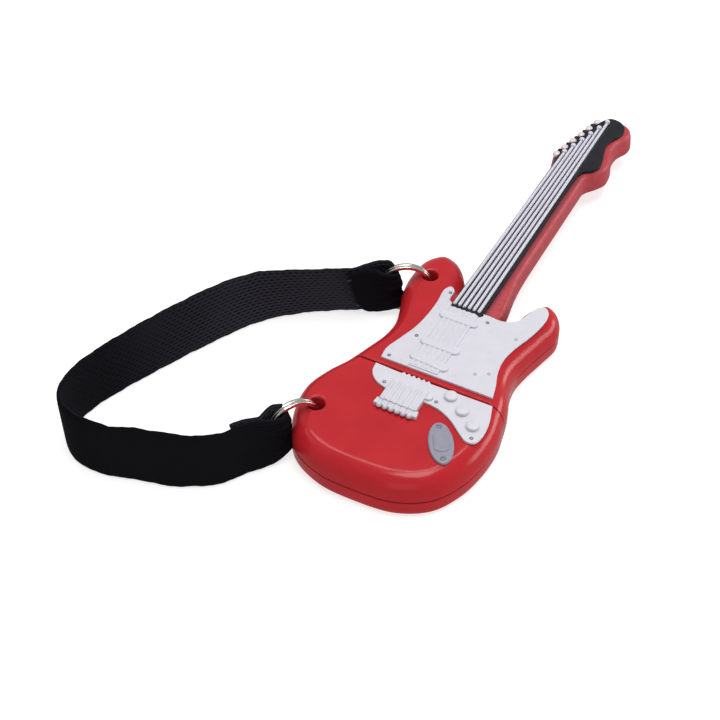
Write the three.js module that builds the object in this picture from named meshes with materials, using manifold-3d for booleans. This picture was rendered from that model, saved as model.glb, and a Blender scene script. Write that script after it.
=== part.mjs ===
// Guitar-shaped USB stick with a webbing hand strap, as separate named pieces.
// Millimetres, +Y from the body to the headstock, +Z up, the flat back on z = 0.
// Inside the group Y is counted from the seam between body and cap, and the group is
// shifted so that the origin is the middle of the lower body's flat back.
import * as THREE from 'three';
import { mergeVertices } from 'three/addons/utils/BufferGeometryUtils.js';
import Module from 'manifold-3d';

const wasm = await Module();
wasm.setup();

// Driving sizes
const SEAM_Y = 12;
const THICKNESS = 10;
const PARTING_Z = 4.4;
const SHELL_GAP = 0.2;
const SEAM_GAP = 0.3;
const FRONT_EDGE_RUN = 2.6;
const BACK_EDGE_RUN = 2;
const BACK_EDGE_RISE = 2.2;
const TRIM_GAP = 0.05;
const PICKGUARD_HEIGHT = 0.5;
const PLUG = { x: 1, z: 5, width: 12, height: 4.5, wall: 0.3, back: -8, tip: 12 };
const WEBBING = { width: 15, thick: 1.2 };
const RING = { outer: 6.5, inner: 5.6, width: 1.6, z: 6.8, reach: 5.9 };
const RING_HOLE_RADIUS = 1.8;
const GROOVE = { width: 3.2, top: 3.3, length: 12 };
const UPPER_RING = { hole: [-11.8, 30.3], degrees: 212 };
const LOWER_RING = { hole: [-15.2, -16.4], degrees: 240 };
const STRINGS = 6;
const STRING = { radius: 0.38, postRadius: 0.55, postHeight: 0.7 };
const TUNER = { radius: 0.9, height: 0.8 };
const KNOB = { radius: 1.4, height: 0.9 };
const PICKUP = { x: 0.3, half: 4.3, radius: 1.1, height: 0.4 };
const SADDLE = { pitch: 1.35, half: 0.4, height: 0.4 };
const BRIDGE = { left: -4.2, right: 4.6, top: 11.4 };
const NECK_EDGE = { run: 1.4, rise: 3.6 };
const HEADSTOCK_EDGE = { run: 0.6, rise: 0.8 };
const HEEL = { left: -3.7, right: 5.9 };
const FAR = 200;

const GLOSS_RED = { color: 0xbe282d, roughness: 0.2, metalness: 0 };
const WHITE = { color: 0xe1e1eb, roughness: 0.35, metalness: 0 };
const SILVER_WHITE = { color: 0xd8d8e2, roughness: 0.3, metalness: 0.1 };
const BLACK = { color: 0x23262a, roughness: 0.35, metalness: 0 };
const GREY = { color: 0xa0a0aa, roughness: 0.35, metalness: 0.1 };
const NICKEL = { color: 0xc8c4bc, roughness: 0.2, metalness: 1 };
const STEEL = { color: 0xc4c6c8, roughness: 0.25, metalness: 1 };
const GOLD = { color: 0xd4a94c, roughness: 0.25, metalness: 1 };
const WOVEN_BLACK = { color: 0x141418, roughness: 0.9, metalness: 0 };
const BOARD_GREEN = { color: 0x1f5a36, roughness: 0.5, metalness: 0 };
const CHIP_BLACK = { color: 0x1c1c1e, roughness: 0.5, metalness: 0 };
const CERAMIC = { color: 0xb49a78, roughness: 0.5, metalness: 0 };
const BLACK_INSULATOR = { color: 0x202022, roughness: 0.5, metalness: 0 };

const guitar = new THREE.Group();
guitar.position.y = SEAM_Y;

// Helpers

function toSolid(geometry) {
  let bare = geometry.index ? geometry.toNonIndexed() : geometry;
  bare.deleteAttribute('normal');
  bare.deleteAttribute('uv');
  bare = mergeVertices(bare, 1e-4);
  const vertProperties = new Float32Array(bare.attributes.position.array);
  const triVerts = new Uint32Array(bare.index.array);
  return new wasm.Manifold(new wasm.Mesh({ numProp: 3, vertProperties, triVerts }));
}

function toGeometry(solid) {
  const data = solid.getMesh();
  const geometry = new THREE.BufferGeometry();
  geometry.setAttribute('position', new THREE.BufferAttribute(data.vertProperties, 3));
  geometry.setIndex(new THREE.BufferAttribute(data.triVerts, 1));
  geometry.computeVertexNormals();
  return geometry;
}

function addPiece(name, shape, finish) {
  const geometry = shape.isBufferGeometry ? shape : toGeometry(shape);
  const mesh = new THREE.Mesh(geometry, new THREE.MeshStandardMaterial(finish));
  mesh.name = name;
  guitar.add(mesh);
  return mesh;
}

function block([x0, x1], [y0, y1], [z0, z1]) {
  const geometry = new THREE.BoxGeometry(x1 - x0, y1 - y0, z1 - z0);
  return geometry.translate((x0 + x1) / 2, (y0 + y1) / 2, (z0 + z1) / 2);
}

function blockSolid(xs, ys, zs) {
  return toSolid(block(xs, ys, zs));
}

function postAt(x, y, radius, z0, z1, sides = 24) {
  const geometry = new THREE.CylinderGeometry(radius, radius, z1 - z0, sides);
  return geometry.rotateX(Math.PI / 2).translate(x, y, (z0 + z1) / 2);
}

// A closed smooth outline through a few points.
function smoothOutline(points, count) {
  const knots = points.map(([x, y]) => new THREE.Vector3(x, y, 0));
  const curve = new THREE.CatmullRomCurve3(knots, true, 'centripetal');
  return new THREE.Shape(curve.getSpacedPoints(count).slice(0, -1).map((p) => new THREE.Vector2(p.x, p.y)));
}

// A smooth outline whose last point is joined to the first by a straight edge.
function flatEndedOutline(points, count) {
  const curve = new THREE.SplineCurve(points.map(([x, y]) => new THREE.Vector2(x, y)));
  return new THREE.Shape(curve.getSpacedPoints(count));
}

function prism(shape, z0, z1) {
  const settings = { depth: z1 - z0, bevelEnabled: false, curveSegments: 8 };
  return new THREE.ExtrudeGeometry(shape, settings).translate(0, 0, z0);
}

// A prism whose two ends curve in by run over rise. The outline is its widest section.
function pillow(shape, z0, z1, run, rise, segments) {
  const geometry = new THREE.ExtrudeGeometry(shape, {
    depth: z1 - z0 - 2 * rise,
    bevelThickness: rise,
    bevelSize: run,
    bevelOffset: -run,
    bevelSegments: segments,
    curveSegments: 8,
  });
  return geometry.translate(0, 0, z0 + rise);
}

// Outlines, counted from the seam and from the middle of the strings

const BODY_OUTLINE = [
  [20.2, 0], [21, -5], [20.7, -11.5], [19.1, -18.2], [15.6, -24.3], [9.1, -28.2], [0, -29.3],
  [-8.5, -28.7], [-15.9, -25], [-19.9, -18.2], [-21, -11.2], [-19.3, -5.2], [-17.1, -0.7],
  [-15.1, 5.1], [-13.6, 10.1], [-13.3, 15], [-14.7, 20.6], [-16.5, 25.7], [-17.1, 31],
  [-16.2, 36.5], [-12.6, 40.1], [-8.4, 39.1], [-5.2, 35.2], [-3.2, 29.3], [1.5, 27], [7, 26],
  [10, 27.4], [11.2, 31], [12.9, 34], [15.3, 35.6], [18.3, 34.1], [19.9, 30.2], [18.9, 24.5],
  [17.5, 18.5], [16.9, 13.5], [17.7, 8.5], [19.3, 4],
];

const NECK_OUTLINE = [[-4.2, 26], [6.2, 26], [6, 81], [-4, 81]];

const HEADSTOCK_OUTLINE = [
  [5.1, 75.5], [6.3, 80.6], [8.2, 83.4], [9.5, 86.2], [9.3, 89.8], [8.2, 93.6], [8.3, 97.6],
  [9.7, 101], [9.7, 103.6], [8.2, 105.6], [5.2, 106.7], [2.5, 106.2], [0.5, 103.6], [-1.5, 97.4],
  [-3.5, 90.4], [-4.7, 85.8], [-4.3, 82], [-3.9, 77], [-3.6, 72], [1, 70], [4.7, 72],
];

const CAP_PICKGUARD_OUTLINE = [
  [-9.5, 1.5], [-9.7, 4.3], [-8.4, 8.7], [-7.1, 13.1], [-6.5, 17.6], [-6.4, 22.5], [-6.7, 27],
  [-5.8, 28.5], [-4.5, 27.6], [-4, 24.2], [0, 23.7], [5, 23.7], [9.3, 23.6], [11.9, 25.2],
  [13.1, 28.6], [14.1, 31], [15.6, 31.9], [16.9, 30.6], [17.2, 27.3], [16.2, 22], [14.7, 17.1],
  [14, 13], [14.4, 9], [15.7, 4.8], [16.5, 1.5],
];

const BODY_PICKGUARD_OUTLINE = [
  [-9.6, -0.6], [-9.2, -3], [-7.7, -4.9], [-5.4, -6], [-2, -6.4], [4, -6.1], [8, -6.6],
  [11.3, -8.1], [14.4, -10.5], [16.6, -11.9], [18.3, -11.5], [19, -9.6], [18.8, -5.5], [17.4, -0.6],
];

const FACE_OUTLINE = [
  [-3.5, 22.7], [0, 22.5], [4.4, 22.7], [4.5, 50], [4.4, 76], [4.8, 80.6], [6.8, 82.8], [7.8, 84.8],
  [7.5, 87.6], [6.7, 91], [6.1, 94], [6.5, 96.6], [7.5, 98.8], [8, 101], [7.4, 103.3], [5.6, 105],
  [3.1, 105.2], [1.5, 103.2], [-0.3, 97], [-2.2, 90.2], [-3.1, 86.2], [-2.8, 80.6], [-2.8, 70], [-2.9, 50],
];

const JACK_PLATE = { x: 12.4, y: -14.6, length: 11, width: 5.2, degrees: -59, height: 0.6 };

const FRONT_Z = PARTING_Z + SHELL_GAP / 2;
const BACK_Z = PARTING_Z - SHELL_GAP / 2;
const TRIM_Z = THICKNESS + TRIM_GAP;
const PICKGUARD_TOP = TRIM_Z + PICKGUARD_HEIGHT;
const FACE_TOP = 10.8;
const NECK_BOTTOM_Z = 2.7;
const HEADSTOCK_BOTTOM_Z = 4.4;

// Cuts that several shells share

function ringDirection(ring) {
  const angle = THREE.MathUtils.degToRad(ring.degrees);
  return new THREE.Vector2(Math.cos(angle), Math.sin(angle));
}

// The hole that a split ring passes through, with the groove that lets it pass below.
function ringCut(ring) {
  const [x, y] = ring.hole;
  const groove = block([0, GROOVE.length], [-GROOVE.width / 2, GROOVE.width / 2], [-1, GROOVE.top]);
  groove.rotateZ(THREE.MathUtils.degToRad(ring.degrees)).translate(x, y, 0);
  const hole = postAt(x, y, RING_HOLE_RADIUS, -1, THICKNESS + 1);
  return toSolid(hole).add(toSolid(groove));
}

const BOARD_ROOM = { x: [PLUG.x - 8.4, PLUG.x + 8.4], y: [-25.2, -1.2], z: [1.6, 8.4] };
const LINER = { half: 7.1, rise: 3.35, front: 0.6, back: 14.2, wall: 0.8 };

function plugSlot(clearance, ys) {
  const halfWidth = PLUG.width / 2 + clearance;
  const halfHeight = PLUG.height / 2 + clearance;
  return blockSolid([PLUG.x - halfWidth, PLUG.x + halfWidth], ys, [PLUG.z - halfHeight, PLUG.z + halfHeight]);
}

function linerRoom(clearance, ys) {
  const half = LINER.half + clearance;
  const rise = LINER.rise + clearance;
  return blockSolid([PLUG.x - half, PLUG.x + half], ys, [PLUG.z - rise, PLUG.z + rise]);
}

// Red shells

function frontPillow() {
  const shape = smoothOutline(BODY_OUTLINE, 110);
  const rise = THICKNESS - PARTING_Z;
  const whole = toSolid(pillow(shape, PARTING_Z - rise - 1, THICKNESS, FRONT_EDGE_RUN, rise, 5));
  return whole.intersect(blockSolid([-FAR, FAR], [-FAR, FAR], [FRONT_Z, FAR]));
}

function backPillow() {
  const shape = smoothOutline(BODY_OUTLINE, 110);
  const top = PARTING_Z + BACK_EDGE_RISE + 1;
  const whole = toSolid(pillow(shape, 0, top, BACK_EDGE_RUN, BACK_EDGE_RISE, 3));
  return whole.intersect(blockSolid([-FAR, FAR], [-FAR, FAR], [-FAR, BACK_Z]));
}

function belowSeam(solid) {
  return solid.intersect(blockSolid([-FAR, FAR], [-FAR, -SEAM_GAP / 2], [-FAR, FAR]));
}

function aboveSeam(solid) {
  return solid.intersect(blockSolid([-FAR, FAR], [SEAM_GAP / 2, FAR], [-FAR, FAR]));
}

function neck() {
  const shape = new THREE.Shape(NECK_OUTLINE.map(([x, y]) => new THREE.Vector2(x, y)));
  return toSolid(pillow(shape, NECK_BOTTOM_Z, THICKNESS, NECK_EDGE.run, NECK_EDGE.rise, 4));
}

function headstock() {
  const shape = smoothOutline(HEADSTOCK_OUTLINE, 80);
  return toSolid(pillow(shape, HEADSTOCK_BOTTOM_Z, THICKNESS, HEADSTOCK_EDGE.run, HEADSTOCK_EDGE.rise, 2));
}

// The thick root of the neck, on the back shell.
function heel() {
  const side = [[22, 0.9], [35.5, 0.9], [39.5, 1.6], [41.5, 2.3], [22, 2.3]];
  const shape = new THREE.Shape(side.map(([y, z]) => new THREE.Vector2(y, z)));
  const geometry = new THREE.ExtrudeGeometry(shape, { depth: HEEL.right - HEEL.left, bevelEnabled: false });
  // Shape X becomes Y, shape Y becomes Z and the depth becomes X.
  geometry.rotateX(Math.PI / 2).rotateZ(Math.PI / 2).translate(HEEL.left, 0, 0);
  return toSolid(geometry);
}

function bodyShells() {
  const ring = ringCut(LOWER_RING);
  const room = blockSolid(BOARD_ROOM.x, BOARD_ROOM.y, BOARD_ROOM.z);
  const mouth = plugSlot(0.35, [-4, 1]);
  const cuts = ring.add(room).add(mouth);
  addPiece('body_front_shell', belowSeam(frontPillow()).subtract(cuts), GLOSS_RED);
  addPiece('body_back_shell', belowSeam(backPillow()).subtract(cuts), GLOSS_RED);
}

function capShells() {
  const cuts = ringCut(UPPER_RING).add(linerRoom(0.3, [-1, LINER.back + 0.3]));
  const front = aboveSeam(frontPillow()).add(neck()).add(headstock());
  addPiece('cap_front_shell', front.subtract(cuts), GLOSS_RED);
  const neckRoom = blockSolid([-5, 6.2], [25.7, FAR], [NECK_BOTTOM_Z - 0.3, FAR]);
  const back = aboveSeam(backPillow()).add(heel());
  addPiece('cap_back_shell', back.subtract(cuts).subtract(neckRoom), GLOSS_RED);
}

// White, grey and black trim

function pickguards() {
  const bodyPlate = flatEndedOutline(BODY_PICKGUARD_OUTLINE, 44);
  const capPlate = flatEndedOutline(CAP_PICKGUARD_OUTLINE, 70);
  addPiece('body_pickguard', prism(bodyPlate, TRIM_Z, PICKGUARD_TOP), WHITE);
  addPiece('cap_pickguard', prism(capPlate, TRIM_Z, PICKGUARD_TOP), WHITE);
}

function pickups() {
  const places = { pickup_neck: [19.6, 0], pickup_middle: [10.2, 0], pickup_bridge: [4.8, -4] };
  const reach = PICKUP.half - PICKUP.radius;
  for (const [name, [y, degrees]] of Object.entries(places)) {
    const shape = new THREE.Shape();
    shape.absarc(reach, 0, PICKUP.radius, -Math.PI / 2, Math.PI / 2);
    shape.absarc(-reach, 0, PICKUP.radius, Math.PI / 2, Math.PI * 1.5);
    const z0 = PICKGUARD_TOP + TRIM_GAP;
    const geometry = prism(shape, z0, z0 + PICKUP.height);
    geometry.rotateZ(THREE.MathUtils.degToRad(degrees)).translate(PICKUP.x, y, 0);
    addPiece(name, geometry, WHITE);
  }
}

// The ribbed bridge rests on the pickguard and steps down over its edge on to the red.
function bridge() {
  const width = [BRIDGE.left, BRIDGE.right];
  const footTop = BRIDGE.top - SADDLE.height;
  const upper = blockSolid(width, [-8, -3.6], [PICKGUARD_TOP + TRIM_GAP, BRIDGE.top]);
  const lower = blockSolid(width, [-10, -6.7], [TRIM_Z, BRIDGE.top]);
  const foot = blockSolid([BRIDGE.left - 0.6, BRIDGE.right + 0.6], [-11.5, -9.6], [TRIM_Z, footTop]);
  let solid = upper.add(lower).add(foot);
  for (let i = 0; i < STRINGS; i += 1) {
    const x = BRIDGE.left + 0.9 + SADDLE.pitch * i;
    const saddle = [x - SADDLE.half, x + SADDLE.half];
    solid = solid.add(blockSolid(saddle, [-11.2, -4], [footTop, BRIDGE.top + SADDLE.height]));
  }
  addPiece('bridge', solid, WHITE);
}

function knobs() {
  const places = { knob_volume: [8.8, -2.4], knob_tone_1: [12.6, -5], knob_tone_2: [16.2, -7.8] };
  for (const [name, [x, y]] of Object.entries(places)) {
    const z0 = PICKGUARD_TOP + TRIM_GAP;
    addPiece(name, postAt(x, y, KNOB.radius, z0, z0 + KNOB.height), WHITE);
  }
}

function jackPlate() {
  const shape = new THREE.Shape();
  shape.absellipse(0, 0, JACK_PLATE.length / 2, JACK_PLATE.width / 2, 0, Math.PI * 2);
  const plate = toSolid(prism(shape, 0, JACK_PLATE.height));
  const socket = toSolid(block([-2.4, 2.2], [-1.3, 1.3], [0.3, JACK_PLATE.height + 0.25]));
  const geometry = toGeometry(plate.add(socket));
  geometry.rotateZ(THREE.MathUtils.degToRad(JACK_PLATE.degrees));
  addPiece('jack_plate', geometry.translate(JACK_PLATE.x, JACK_PLATE.y, TRIM_Z), GREY);
}

function fretboard() {
  const shape = new THREE.Shape(FACE_OUTLINE.map(([x, y]) => new THREE.Vector2(x, y)));
  const board = toSolid(prism(shape, TRIM_Z, FACE_TOP));
  // The board's lower end lies on the pickguard.
  const step = blockSolid([-9, 9], [20, 29.4], [0, PICKGUARD_TOP + TRIM_GAP]);
  addPiece('fretboard', board.subtract(step), BLACK);
}

// Each string is a half-round rib that ends in a round post on the headstock.
function strings() {
  const z0 = FACE_TOP + TRIM_GAP;
  for (let i = 0; i < STRINGS; i += 1) {
    const start = new THREE.Vector2(-2.6 + 1.18 * i, 23.2);
    const end = new THREE.Vector2(-2.05 + i, 86.3 + 3.32 * i);
    const section = new THREE.Shape();
    section.absarc(0, 0, STRING.radius, 0, Math.PI);
    const length = start.distanceTo(end);
    const rib = new THREE.ExtrudeGeometry(section, { depth: length, bevelEnabled: false, curveSegments: 6 });
    rib.rotateX(Math.PI / 2).translate(0, length, 0);
    rib.rotateZ(Math.atan2(end.y - start.y, end.x - start.x) - Math.PI / 2).translate(start.x, start.y, z0);
    const post = postAt(end.x, end.y, STRING.postRadius, z0, z0 + STRING.postHeight, 16);
    addPiece(`string_${i + 1}`, toSolid(rib).add(toSolid(post)), SILVER_WHITE);
  }
}

// Each tuner button stands just outside the edge of the black face.
function tuners() {
  const face = new THREE.Shape(FACE_OUTLINE.map(([x, y]) => new THREE.Vector2(x - 0.1, y)));
  const faceRoom = toSolid(prism(face, 0, FAR));
  for (let i = 0; i < STRINGS; i += 1) {
    const x = -3.7 + 0.83 * i;
    const y = 85.2 + 3.42 * i;
    const button = toSolid(postAt(x, y, TUNER.radius, TRIM_Z, TRIM_Z + TUNER.height, 16));
    addPiece(`tuner_${i + 1}`, button.subtract(faceRoom), SILVER_WHITE);
  }
}

// Inside the lower body

function circuitCarrier() {
  const half = 8.1;
  const xs = [PLUG.x - half, PLUG.x + half];
  const outer = blockSolid(xs, [-24.9, -1.5], [1.9, 8.1]);
  const inner = blockSolid([PLUG.x - 6.5, PLUG.x + 6.5], [-24.1, -2.7], [2.6, 9]);
  const mouth = plugSlot(0.15, [-3, 0]);
  let solid = outer.subtract(inner).subtract(mouth);
  for (const side of [-1, 1]) {
    const rail = [PLUG.x + side * 5.1, PLUG.x + side * 6.7].sort((a, b) => a - b);
    solid = solid.add(blockSolid(rail, [-24.3, -9], [2.4, 3.55]));
  }
  addPiece('circuit_carrier', solid, BLACK_INSULATOR);
}

function circuit() {
  const boardTop = 4.65;
  addPiece('circuit_board', block([-4.5, 6.5], [-23.6, -5], [3.65, boardTop]), BOARD_GREEN);
  addPiece('memory_chip', block([-3.5, 5.5], [-22.6, -13.6], [boardTop + 0.1, 5.8]), CHIP_BLACK);
  addPiece('controller_chip', block([-1, 4], [-17, -12], [2.75, 3.55]), CHIP_BLACK);
  addPiece('crystal', block([-3.4, -0.2], [-11.8, -9.3], [2.9, 3.55]), STEEL);
  for (let i = 0; i < 3; i += 1) {
    const x = -2.6 + 2.6 * i;
    addPiece(`capacitor_${i + 1}`, block([x, x + 1.6], [-20.5, -19.7], [2.8, 3.55]), CERAMIC);
  }
}

function usbPlug() {
  const outer = plugSlot(0, [PLUG.back, PLUG.tip]);
  const inner = plugSlot(-PLUG.wall, [PLUG.back - 1, PLUG.tip + 1]);
  let shell = outer.subtract(inner);
  for (const side of [-1, 1]) {
    const x = PLUG.x + side * 3;
    shell = shell.subtract(blockSolid([x - 1.1, x + 1.1], [5, 7.4], [0, 20]));
  }
  addPiece('usb_plug_shell', shell, STEEL);
  addPiece('usb_tongue', block([-4.5, 6.5], [-4.6, 11.3], [5, 6.85]), BLACK_INSULATOR);
  for (let i = 0; i < 4; i += 1) {
    const x = PLUG.x - 3.5 + i * (7 / 3);
    addPiece(`usb_contact_${i + 1}`, block([x - 0.5, x + 0.5], [-7, 10.6], [4.75, 4.92]), GOLD);
  }
}

function capLiner() {
  const outer = linerRoom(0, [LINER.front, LINER.back]);
  const inner = plugSlot(0.3, [0, LINER.back - LINER.wall]);
  addPiece('cap_liner', outer.subtract(inner), BLACK_INSULATOR);
}

// Split rings and strap

function ringCentre(ring) {
  const direction = ringDirection(ring);
  return new THREE.Vector2(...ring.hole).addScaledVector(direction, RING.reach);
}

// Two flat coils side by side, drawn as one band with a rounded section.
function splitRing(name, ring) {
  const half = RING.width / 2;
  const corner = 0.25;
  const profile = [
    [RING.inner, -half + corner], [RING.inner + corner, -half], [RING.outer - corner, -half],
    [RING.outer, -half + corner], [RING.outer, half - corner], [RING.outer - corner, half],
    [RING.inner + corner, half], [RING.inner, half - corner], [RING.inner, -half + corner],
  ];
  const points = profile.map(([r, h]) => new THREE.Vector2(r, h));
  const geometry = new THREE.LatheGeometry(points, 40);
  // The lathe turns about Y: at 0 degrees that is already the normal of the ring's plane.
  geometry.rotateZ(THREE.MathUtils.degToRad(ring.degrees));
  const centre = ringCentre(ring);
  addPiece(name, geometry.translate(centre.x, centre.y, RING.z), NICKEL);
}

// The strap's route in plan, from the lower ring round to the upper ring.
const STRAP_ROUTE = [
  [-21.7, -27.7], [-23.4, -31.2], [-25.6, -34.6], [-28.6, -38], [-32.4, -40.6], [-37, -42.4],
  [-42.2, -43.8], [-47.6, -45.2], [-53, -45.8], [-57.6, -44.6], [-61, -41.6], [-62.5, -37],
  [-62.1, -31.8], [-60.6, -26.6], [-58.6, -21], [-56.2, -15], [-53.4, -8.6], [-50.2, -2],
  [-46.8, 4.2], [-43, 9.4], [-38.6, 13.8], [-33.6, 17.4], [-28.4, 20.6], [-22.8, 23.6],
];

function strap() {
  const knots = STRAP_ROUTE.map(([x, y]) => new THREE.Vector3(x, y, WEBBING.width / 2 + 0.1));
  const route = new THREE.CatmullRomCurve3(knots, false, 'centripetal');
  const halfThick = WEBBING.thick / 2;
  const halfWidth = WEBBING.width / 2;
  const section = new THREE.Shape([
    [-halfWidth, -halfThick], [0, -halfThick], [halfWidth, -halfThick], [halfWidth, 0],
    [halfWidth, halfThick], [0, halfThick], [-halfWidth, halfThick], [-halfWidth, 0],
  ].map(([x, y]) => new THREE.Vector2(x, y)));
  const ribbon = new THREE.ExtrudeGeometry(section, { steps: 60, extrudePath: route });
  addPiece('strap', ribbon, WOVEN_BLACK);
}

bodyShells();
capShells();
pickguards();
pickups();
bridge();
knobs();
jackPlate();
fretboard();
strings();
tuners();
circuitCarrier();
circuit();
usbPlug();
capLiner();
splitRing('upper_ring', UPPER_RING);
splitRing('lower_ring', LOWER_RING);
strap();

export default guitar;
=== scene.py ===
"""Looks of the guitar-shaped USB stick with its webbing hand strap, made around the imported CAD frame.

Sizes are in millimetres, with y counted from the seam between body and cap, and row() turns them
into metres in the row frame.
"""

import math

import bmesh
import bpy
import numpy as np
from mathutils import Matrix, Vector
from mathutils.geometry import delaunay_2d_cdt


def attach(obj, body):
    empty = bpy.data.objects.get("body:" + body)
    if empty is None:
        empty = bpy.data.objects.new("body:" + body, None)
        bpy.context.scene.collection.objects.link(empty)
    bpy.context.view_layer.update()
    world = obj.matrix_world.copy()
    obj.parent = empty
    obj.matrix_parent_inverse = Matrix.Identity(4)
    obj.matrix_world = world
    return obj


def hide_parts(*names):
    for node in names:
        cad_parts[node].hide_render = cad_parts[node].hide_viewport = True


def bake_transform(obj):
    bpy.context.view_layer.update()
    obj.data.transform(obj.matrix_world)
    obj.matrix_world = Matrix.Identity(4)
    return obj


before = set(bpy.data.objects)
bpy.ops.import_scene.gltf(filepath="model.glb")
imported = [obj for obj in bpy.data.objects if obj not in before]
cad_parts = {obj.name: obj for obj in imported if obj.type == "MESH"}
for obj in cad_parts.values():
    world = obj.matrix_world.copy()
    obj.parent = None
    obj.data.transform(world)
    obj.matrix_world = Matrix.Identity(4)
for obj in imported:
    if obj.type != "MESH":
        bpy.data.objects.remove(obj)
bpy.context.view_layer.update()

# Driving sizes, as in the CAD
MM = 0.001
SEAM_Y = 12.0
THICKNESS = 10.0
FRONT_Z = 4.5
BACK_Z = 4.3
SEAM_GAP = 0.3
TRIM_Z = 10.05
PICKGUARD_TOP = 10.55
JACK_TOP = 10.65
FACE_TOP = 10.8
PLUG_X, PLUG_Z = 1.0, 5.0
PLUG_HALF = (6.0, 2.25)
PLUG_BACK, PLUG_TIP = -8, 12
STRINGS = 6
NECK_LENGTH = 58
# How far in the shells' front and back edges start to round, and how far they drop
FRONT_EDGE = (4.0, 5.2)
BACK_EDGE = (1.6, 2.0)

RING_OUTER, RING_INNER, RING_Z, RING_REACH = 6.5, 5.6, 6.8, 5.9
UPPER_RING = {"hole": (-11.8, 30.3), "degrees": 212}
LOWER_RING = {"hole": (-15.2, -16.4), "degrees": 240}
RING_HOLE_RADIUS = 1.8

WEBBING_WIDTH, WEBBING_THICK = 15.0, 1.2
FLAP_GAP = 1.25
# The weave's own coordinates run from a sewn end and from the strap's middle line. On the face
# that is turned to the inside of the loop the second one starts at INNER_FACE.
WEAVE_SCALE = 0.01
INNER_FACE = 40
AWAY = np.array([-0.47, 0.883])
# How far the strap's lower and upper edges stand away from its route, by the distance along it
LEAN = [
    (-6, -0.4, 0), (0, -0.8, -1.3), (10, -1.3, -1.4), (17, -0.7, -0.3), (22, -0.9, 0.3), (28, -0.6, 0.2),
    (33, -0.9, -0.6), (38, -0.9, -0.1), (43, -0.8, -0.4), (50, -0.5, -1.0), (58, -0.9, -0.8),
    (65, -0.9, -0.4), (78, -1.2, 0.2), (92, -1.0, 0.5), (98, -0.7, 0.2), (104, -0.4, -0.4),
    (111, -0.4, -2.1), (118, -0.2, -2.8), (125.5, -0.1, -2.6), (130, 0, -1.4), (134, 0, -0.3),
]
STRAP_ROUTE = [
    (-21.7, -27.7), (-23.4, -31.2), (-25.6, -34.6), (-28.6, -38), (-32.4, -40.6), (-37, -42.4),
    (-42.2, -43.8), (-47.6, -45.2), (-53, -45.8), (-57.6, -44.6), (-61, -41.6), (-62.5, -37),
    (-62.1, -31.8), (-60.6, -26.6), (-58.6, -21), (-56.2, -15), (-53.4, -8.6), (-50.2, -2),
    (-46.8, 4.2), (-43, 9.4), (-38.6, 13.8), (-33.6, 17.4), (-28.4, 20.6), (-22.8, 23.6),
]

BODY_OUTLINE = [
    (20.2, 0), (21, -5), (20.7, -11.5), (19.1, -18.2), (15.6, -24.3), (9.1, -28.2), (0, -29.3),
    (-8.5, -28.7), (-15.9, -25), (-19.9, -18.2), (-21, -11.2), (-19.3, -5.2), (-17.1, -0.7),
    (-15.1, 5.1), (-13.6, 10.1), (-13.3, 15), (-14.7, 20.6), (-16.5, 25.7), (-17.1, 31),
    (-16.2, 36.5), (-12.6, 40.1), (-8.4, 39.1), (-5.2, 35.2), (-3.2, 29.3), (1.5, 27), (7, 26),
    (10, 27.4), (11.2, 31), (12.9, 34), (15.3, 35.6), (18.3, 34.1), (19.9, 30.2), (18.9, 24.5),
    (17.5, 18.5), (16.9, 13.5), (17.7, 8.5), (19.3, 4),
]
HEADSTOCK_OUTLINE = [
    (5.1, 75.5), (6.3, 80.6), (8.2, 83.4), (9.5, 86.2), (9.3, 89.8), (8.2, 93.6), (8.3, 97.6),
    (9.7, 101), (9.7, 103.6), (8.2, 105.6), (5.2, 106.7), (2.5, 106.2), (0.5, 103.6), (-1.5, 97.4),
    (-3.8, 91.2), (-5.3, 87.4), (-4.5, 84.2), (-3.9, 80.8), (-3.7, 77), (-3.6, 72), (1, 70), (4.7, 72),
]
CAP_PICKGUARD_OUTLINE = [
    (-9.5, 1.5), (-9.7, 4.3), (-8.4, 8.7), (-7.1, 13.1), (-6.5, 17.6), (-6.4, 22.5), (-6.7, 27),
    (-5.8, 28.5), (-4.5, 27.6), (-4, 24.2), (0, 23.7), (5, 23.7), (9.3, 23.6), (11.9, 25.2),
    (13.1, 28.6), (14.1, 31), (15.6, 31.9), (16.9, 30.6), (17.2, 27.3), (16.2, 22), (14.7, 17.1),
    (14, 13), (14.4, 9), (15.7, 4.8), (16.5, 1.5),
]
BODY_PICKGUARD_OUTLINE = [
    (-9.6, -0.6), (-9.2, -3), (-7.7, -4.9), (-5.4, -6), (-2, -6.4), (4, -6.1), (8, -6.6),
    (11.3, -8.1), (14.4, -10.5), (16.6, -11.9), (18.3, -11.5), (19, -9.6), (18.8, -5.5), (17.4, -0.6),
]
FACE_HEAD_OUTLINE = [
    (4.25, 50), (4.05, 74), (4.6, 80.6), (6.8, 82.8), (7.8, 84.8), (7.5, 87.6), (6.7, 91), (6.1, 94),
    (6.5, 96.6), (7.5, 98.8), (8, 101), (7.4, 103.3), (5.6, 105), (3.1, 105.2), (1.5, 103.2),
    (-0.3, 97), (-2.2, 90.2), (-3.1, 86.2), (-2.8, 80.6), (-2.8, 70), (-2.9, 50),
]
JACK_PLATE = {"x": 12.4, "y": -14.6, "length": 11.0, "width": 5.2, "degrees": -59}


def row(x, y, z):
    """A point in millimetres, y from the seam, as a Vector in metres in the row frame."""
    return Vector((x * MM, (y + SEAM_Y) * MM, z * MM))


# Camera, floor and light


def aim(thing, place, target):
    """Puts a camera or a light at its place, turned to its target."""
    thing.location = place
    thing.rotation_mode = "QUATERNION"
    thing.rotation_quaternion = (Vector(target) - Vector(place)).to_track_quat("-Z", "Y")
    bpy.context.collection.objects.link(thing)


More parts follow.
